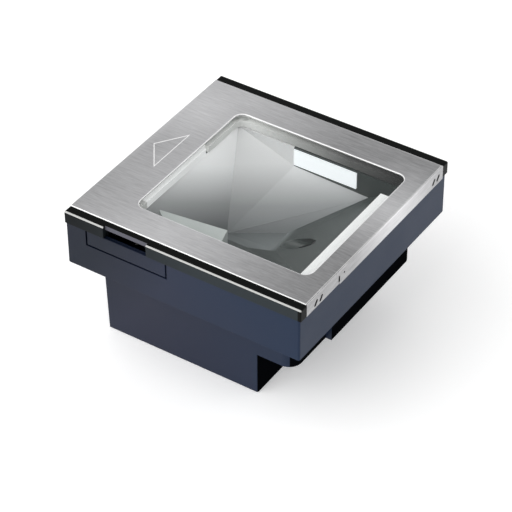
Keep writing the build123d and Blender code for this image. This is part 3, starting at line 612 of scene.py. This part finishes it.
class CoverSettings(bpy.types.PropertyGroup):
    """Steel sheet, plastic cover and window."""

    steel_colour: colour_property("Steel", "Colour of the brushed sheet", (0.55, 0.55, 0.56))
    steel_roughness: share_property("Steel roughness", "Blur of the brushed sheet", 0.34)
    streak_density: FloatProperty(
        name="Streaks", description="Brush streaks per metre of width", default=2300.0, min=1
    )
    streak_stretch: share_property("Streak stretch", "Streak width over its length", 0.06)
    steel_edge: length_property("Steel edge", "Radius on the sheet's cut edges", 0.0005)
    band_colour: colour_property("Cover", "Colour of the plastic cover", (0.002, 0.0025, 0.0023))
    side_colour: colour_property("Cover sides", "Colour of its sides", (0.024, 0.03, 0.034))
    # Painted highlight along the cover's outer top edge.
    bead_colour: colour_property("Bead", "Polished outer edge", (0.5, 0.5, 0.49))
    bead_width: length_property("Bead width", "Width of the polished edge", 0.0007)
    notch_front: length_property("Notch front", "Near end of the finger notch", 0.022)
    notch_back: length_property("Notch back", "Far end of the finger notch", 0.0502)
    # Painted light: the pale tone at the back of the window's well.
    well_high_colour: colour_property("Well, back", "Rim of the window's well", (0.95, 0.95, 0.93))
    well_low_colour: colour_property("Well, front", "The same, in front", (0.02, 0.022, 0.022))
    # Painted highlight above the finger notch.
    lip_colour: colour_property("Lip", "Edge above the finger notch", (0.1, 0.1, 0.12))
    band_edge: length_property("Cover edge", "Radius on the cover's edges", 0.0003)
    glass_tint: colour_property("Glass", "What the glass lets through", (0.985, 0.992, 0.99))
    # Painted glow that brightens the light pipe.
    pipe_glow: share_property("Light pipe glow", "Daylight held in the light pipe", 0.25)
    strip_colour: colour_property("Strips", "Printed strip and light pipe", (0.97, 0.97, 0.97))


class HousingSettings(bpy.types.PropertyGroup):
    """Moulded housings below the cover."""

    housing_colour: colour_property("Housing", "Slate blue", (0.0145, 0.018, 0.037))
    housing_near_colour: colour_property("Housing, near", "In front", (0.004, 0.015, 0.043))
    # Painted shade for the far left corner.
    housing_far_colour: colour_property("Housing, far", "Far left corner", (0.0015, 0.005, 0.015))
    # Painted shade: black on the low front walls, below the given height.
    front_wall_colour: colour_property("Front walls", "Lower front walls", (0.002, 0.0023, 0.003))
    black_below: length_property("Black below", "Front walls are black below this", 0.0605)
    housing_roughness: share_property("Housing roughness", "Blur of the satin housings", 0.42)
    housing_edge: length_property("Housing edge", "Radius on the housings' edges", 0.0004)


class OpticsSettings(bpy.types.PropertyGroup):
    """Mirrors, diffuser and tub."""

    # Painted reflection: the mirrors' light tone high in the well and shade tone low.
    mirror_colour: colour_property("Mirrors", "Tone high in the well", (0.88, 0.875, 0.88))
    mirror_low_colour: colour_property("Mirrors low", "Tone low in the well", (0.15, 0.16, 0.165))
    mirror_roughness: share_property("Mirror roughness", "Blur of the mirrors", 0.42)
    mirror_metal: share_property("Mirror metal", "Metal share of the coating", 0.15)
    plate_growth: FloatProperty(
        name="Plate growth", description="Closes the seams between plates", default=1.035
    )
    tub_colour: colour_property("Tub", "Black of the optics tub", (0.03, 0.042, 0.04))
    # Painted light on the sill below the mirrors.
    sill_colour: colour_property("Sill", "Satin sill below the mirrors", (0.2, 0.22, 0.225))
    diffuser_colour: colour_property("Diffuser", "White of the light bar", (0.85, 0.88, 0.9))
    diffuser_glow: FloatProperty(
        name="Diffuser glow", description="Light from the bar", default=0.5, min=0
    )


class BoardSettings(bpy.types.PropertyGroup):
    """Circuit boards and what is on them."""

    board_colour: colour_property("Boards", "Solder mask", (0.012, 0.09, 0.035))
    contact_size: length_property("Contacts", "Width of one port contact", 0.0006)
    host_contacts: IntProperty(name="Host contacts", description="In the host port", default=10)
    aux_contacts: IntProperty(name="Aux contacts", description="In the auxiliary port", default=6)


class StageSettings(bpy.types.PropertyGroup):
    """Camera, floor and lights."""

    aim: FloatVectorProperty(
        name="Aim",
        description="Point that the camera looks at",
        default=(-0.0066, -0.00244, 0.0518),
        subtype="XYZ",
        unit="LENGTH",
        precision=5,
    )
    distance: length_property("Distance", "Camera to the aim point", 1.30291)
    azimuth: FloatProperty(
        name="Azimuth",
        description="Way round from the operator",
        default=math.radians(-56.408),
        subtype="ANGLE",
        unit="ROTATION",
    )
    elevation: FloatProperty(
        name="Elevation",
        description="Height above the horizon",
        default=math.radians(39.554),
        subtype="ANGLE",
        unit="ROTATION",
    )
    roll: FloatProperty(
        name="Roll",
        description="Turn about the lens axis",
        default=math.radians(-0.3451),
        subtype="ANGLE",
        unit="ROTATION",
    )
    lens: FloatProperty(name="Lens", description="Focal length", default=163.92, unit="CAMERA")
    floor_colour: colour_property("Floor", "Pale floor", (0.93, 0.93, 0.93))
    floor_glow: FloatProperty(name="Floor glow", description="Light table under it", default=0.3)
    dome_low: FloatProperty(name="Dome low", description="Brightness all round", default=0.9)
    dome_high: FloatProperty(name="Dome high", description="Brightness overhead", default=0.55)
    key_power: FloatProperty(
        name="Key", description="Softbox behind, left", default=15.5, unit="POWER"
    )
    fill_power: FloatProperty(
        name="Fill", description="Softbox in front, right", default=2.5, unit="POWER"
    )


# ---- Operators ---------------------------------------------------------------------------------
class SCANNER_OT_top_sheet(bpy.types.Operator):
    """Brushed steel sheet with eased edges"""

    bl_idname = "scanner.top_sheet"
    bl_label = "Steel sheet"

    def execute(self, context):
        s = context.scene.scanner_cover
        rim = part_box("top_sheet")[1].z - 0.05 * MM
        steel = brushed_steel(s)
        refine("top_sheet", "steel_top", steel, s.steel_edge, rim_above=rim)
        return {"FINISHED"}


class SCANNER_OT_cover(bpy.types.Operator):
    """Plastic cover, gasket, printed strip and light pipe"""

    bl_idname = "scanner.cover"
    bl_label = "Cover"

    def execute(self, context):
        s = context.scene.scanner_cover
        refine("cover_frame", "cover_shell", cover_plastic(s), s.band_edge)
        dress(gasket_rubber(s), "glass_gasket")
        film = moulded("strip_white", s.strip_colour, 0.3, 0.000004, 0.4, 0.02)
        dress(film, "front_strip")
        dress(white_light_pipe(s), "indicator_light_pipe")
        return {"FINISHED"}


class SCANNER_OT_window(bpy.types.Operator):
    """Clear window glass"""

    bl_idname = "scanner.window"
    bl_label = "Window"

    def execute(self, context):
        dress(clear_window(context.scene.scanner_cover), "window_glass")
        return {"FINISHED"}


class SCANNER_OT_housing(bpy.types.Operator):
    """Upper and lower housings and the side hatch"""

    bl_idname = "scanner.housing"
    bl_label = "Housings"

    def execute(self, context):
        s = context.scene.scanner_housing
        satin = housing_plastic(s)
        refine("upper_housing", "upper_shell", satin, s.housing_edge)
        refine("lower_housing", "lower_shell", satin, s.housing_edge)
        refine("side_hatch", "hatch_plate", satin, s.housing_edge * 0.6)
        return {"FINISHED"}


class SCANNER_OT_optics(bpy.types.Operator):
    """Optics tub, mirrors, diffuser bar and reflector"""

    bl_idname = "scanner.optics"
    bl_label = "Optics"

    def execute(self, context):
        s = context.scene.scanner_optics
        refine("optics_tub", "tub_shell", tub_plastic(s))
        # Painted light: the main plate is painted brighter than the others.
        main = painted_mirror_coating("mirror_main", s, 0.052, 1.45)
        others = painted_mirror_coating("mirror_others", s, 0.05, 0.95)
        for mirror in ("main_mirror", "corner_mirror", "side_mirror", "front_mirror"):
            coated = main if mirror == "main_mirror" else others
            plate = refine(mirror, mirror.replace("mirror", "plate"), coated)
            corners = [vertex.co for vertex in plate.data.vertices]
            middle = Matrix.Translation(sum(corners, Vector()) / len(corners))
            plate.data.transform(middle @ Matrix.Scale(s.plate_growth, 4) @ middle.inverted())
        dress(opal_diffuser(s), "diffuser_bar")
        white = moulded("reflector_white", (0.5, 0.53, 0.52), 0.4, 0.000008, 0.5, 0.05)
        dress(white, "side_reflector")
        return {"FINISHED"}


class SCANNER_OT_boards(bpy.types.Operator):
    """Circuit boards, chips, connectors and the flat cable"""

    bl_idname = "scanner.boards"
    bl_label = "Boards"

    def execute(self, context):
        s = context.scene.scanner_boards
        board = circuit_board(s)
        dress(board, "main_board", "camera_board", "led_board", "indicator_board")
        epoxy = moulded("chip_epoxy", (0.012, 0.012, 0.013), 0.5, 0.00002, 0.4, 0.2)
        dress(epoxy, "board_chips", "lens_mount", "lens_barrel", "button_switch", "speaker")
        dress(metal("shield_tin", (0.62, 0.62, 0.6), 0.3), "shield_can")
        dress(metal("capacitor_can", (0.55, 0.56, 0.58), 0.35), "power_capacitors")
        ivory = moulded("socket_ivory", (0.72, 0.66, 0.5), 0.45, 0.000006, 0.5, 0.05)
        dress(ivory, "flex_socket")
        dress(moulded("flex_amber", (0.42, 0.17, 0.03), 0.25, 0.000004, 0.5), "camera_flex")
        dress(moulded("sensor_glass", (0.02, 0.024, 0.03), 0.12, 0.0, 0.8), "image_sensor")
        dress(moulded("led_lens", (0.8, 0.75, 0.5), 0.2, 0.0, 0.6), "illumination_leds")
        dress(moulded("lens_glass", (0.012, 0.016, 0.028), 0.06, 0.0, 0.9), "camera_lens")
        return {"FINISHED"}


class SCANNER_OT_ports(bpy.types.Operator):
    """Ports with their contacts, power inlet and push button"""

    bl_idname = "scanner.ports"
    bl_label = "Ports"

    def execute(self, context):
        s = context.scene.scanner_boards
        black = moulded("port_black", (0.014, 0.014, 0.016), 0.4, 0.00001, 0.5)
        dress(black, "host_port", "aux_port", "power_inlet")
        dress(moulded("button_grey", (0.12, 0.13, 0.15), 0.35, 0.00001, 0.5), "push_button")
        gold = metal("contact_gold", (0.86, 0.6, 0.24), 0.25)
        row_share, half = 0.6, s.contact_size / 2
        setback, length, foot, top, edge = 5 * MM, 7.5 * MM, 1.4 * MM, 2.0 * MM, 0.12 * MM
        for port, count in (("host_port", s.host_contacts), ("aux_port", s.aux_contacts)):
            low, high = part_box(port)
            middle = (low + high) / 2
            pitch = (high.x - low.x) * row_share / count
            y = low.y + setback
            made = bmesh.new()
            for index in range(count):
                x = middle.x + (index - (count - 1) / 2) * pitch
                near = (x - half, y, middle.z + foot)
                far = (x + half, y + length, middle.z + top)
                add_block(made, near, far, edge)
            new_piece(made, port + "_contacts", gold, "housing")
        return {"FINISHED"}


class SCANNER_OT_screws(bpy.types.Operator):
    """Machine screws"""

    bl_idname = "scanner.screws"
    bl_label = "Screws"

    def execute(self, context):
        zinc = metal("screw_zinc", (0.5, 0.5, 0.48), 0.3, 1500.0)
        dress(zinc, "housing_screws", "tub_screws", "board_screws", "camera_screws")
        return {"FINISHED"}


class SCANNER_OT_stage(bpy.types.Operator):
    """Camera, pale floor and soft studio light"""

    bl_idname = "scanner.stage"
    bl_label = "Stage"

    def execute(self, context):
        s = context.scene.scanner_stage
        self.make_camera(context, s)
        self.make_floor(context, s)
        self.make_dome(context, s)
        low, high = CAD_BOX
        middle = (low + high) / 2
        self.make_softbox(context, "key", middle, KEY_LAMP, s.key_power)
        self.make_softbox(context, "fill", middle, FILL_LAMP, s.fill_power)
        context.scene.view_settings.view_transform = "Standard"
        return {"FINISHED"}

    def make_camera(self, context, s):
        back = Vector(
            (
                math.sin(s.azimuth) * math.cos(s.elevation),
                -math.cos(s.azimuth) * math.cos(s.elevation),
                math.sin(s.elevation),
            )
        )
        data = bpy.data.cameras.new("camera")
        data.lens = s.lens
        data.sensor_width = 36.0
        data.clip_start, data.clip_end = 0.05, 20.0
        camera = bpy.data.objects.new("camera", data)
        context.scene.collection.objects.link(camera)
        turn = (-back).to_track_quat("-Z", "Y").to_matrix().to_4x4()
        place = Matrix.Translation(Vector(s.aim) + back * s.distance)
        camera.matrix_world = place @ turn @ Matrix.Rotation(s.roll, 4, "Z")
        context.scene.camera = camera

    def make_floor(self, context, s):
        f = Finish("floor_pale")
        pale = solid(s.floor_colour)
        cloud = f.noise(f.place(), 3.0)
        shader = f.principled(
            Base_Color=f.between(cloud, shade(s.floor_colour, 0.99), pale),
            Roughness=0.5,
            Emission_Color=pale,
            Emission_Strength=s.floor_glow,
        )
        material = f.done(shader)
        made = bmesh.new()
        bmesh.ops.create_grid(made, x_segments=1, y_segments=1, size=4.0)
        mesh = bpy.data.meshes.new("floor")
        made.to_mesh(mesh)
        made.free()
        mesh.materials.append(material)
        floor = bpy.data.objects.new("floor", mesh)
        floor.location.z = -0.5 * MM
        context.scene.collection.objects.link(floor)

    def make_dome(self, context, s):
        world = context.scene.world or bpy.data.worlds.new("dome")
        context.scene.world = world
        world.use_nodes = True
        nodes, links = world.node_tree.nodes, world.node_tree.links
        nodes.clear()
        way = nodes.new("ShaderNodeTexCoord")
        split = nodes.new("ShaderNodeSeparateXYZ")
        ramp = nodes.new("ShaderNodeValToRGB")
        light = nodes.new("ShaderNodeBackground")
        out = nodes.new("ShaderNodeOutputWorld")
        stops = ramp.color_ramp.elements
        stops[0].position, stops[0].color = 0.0, (*[s.dome_low] * 3, 1)
        stops[1].position, stops[1].color = 0.8, (*[s.dome_high] * 3, 1)
        links.new(way.outputs["Generated"], split.inputs[0])
        links.new(split.outputs["Z"], ramp.inputs["Fac"])
        links.new(ramp.outputs["Color"], light.inputs["Color"])
        links.new(light.outputs[0], out.inputs["Surface"])

    def make_softbox(self, context, name, target, lamp_place, power):
        direction, distance, size = lamp_place
        data = bpy.data.lights.new(name, "AREA")
        data.shape = "SQUARE"
        data.size = size
        data.energy = power
        lamp = bpy.data.objects.new(name, data)
        context.scene.collection.objects.link(lamp)
        way = Vector(direction).normalized()
        turn = (-way).to_track_quat("-Z", "Y").to_matrix().to_4x4()
        lamp.matrix_world = Matrix.Translation(target + way * distance) @ turn
        lamp.visible_camera = False


class SCANNER_PT_panel(bpy.types.Panel):
    """Lists the scanner's groups of pieces"""

    bl_idname = "SCANNER_PT_panel"
    bl_label = "Scanner"
    bl_space_type = "VIEW_3D"
    bl_region_type = "UI"
    bl_category = "Scanner"

    def draw(self, context):
        column = self.layout.column(align=True)
        for step in STEPS:
            column.operator(step.bl_idname)
        for name, _kind in GROUPS:
            group = getattr(context.scene, name)
            box = self.layout.box()
            for key in group.__annotations__:
                box.prop(group, key)


GROUPS = (
    ("scanner_cover", CoverSettings),
    ("scanner_housing", HousingSettings),
    ("scanner_optics", OpticsSettings),
    ("scanner_boards", BoardSettings),
    ("scanner_stage", StageSettings),
)
STEPS = (
    SCANNER_OT_top_sheet,
    SCANNER_OT_cover,
    SCANNER_OT_window,
    SCANNER_OT_housing,
    SCANNER_OT_optics,
    SCANNER_OT_boards,
    SCANNER_OT_ports,
    SCANNER_OT_screws,
    SCANNER_OT_stage,
)


def register():
    for name, kind in GROUPS:
        bpy.utils.register_class(kind)
        setattr(bpy.types.Scene, name, PointerProperty(type=kind))
    for kind in (*STEPS, SCANNER_PT_panel):
        bpy.utils.register_class(kind)


def unregister():
    for kind in (SCANNER_PT_panel, *reversed(STEPS)):
        bpy.utils.unregister_class(kind)
    for name, kind in reversed(GROUPS):
        delattr(bpy.types.Scene, name)
        bpy.utils.unregister_class(kind)


def main():
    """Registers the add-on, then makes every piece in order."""
    register()
    for leftover in ("Cube", "Light", "Camera"):
        if leftover in bpy.data.objects:
            bpy.data.objects.remove(bpy.data.objects[leftover])
    for step in STEPS:
        group, action = step.bl_idname.split(".")
        getattr(getattr(bpy.ops, group), action)()
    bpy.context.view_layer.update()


if __name__ == "__main__":
    main()
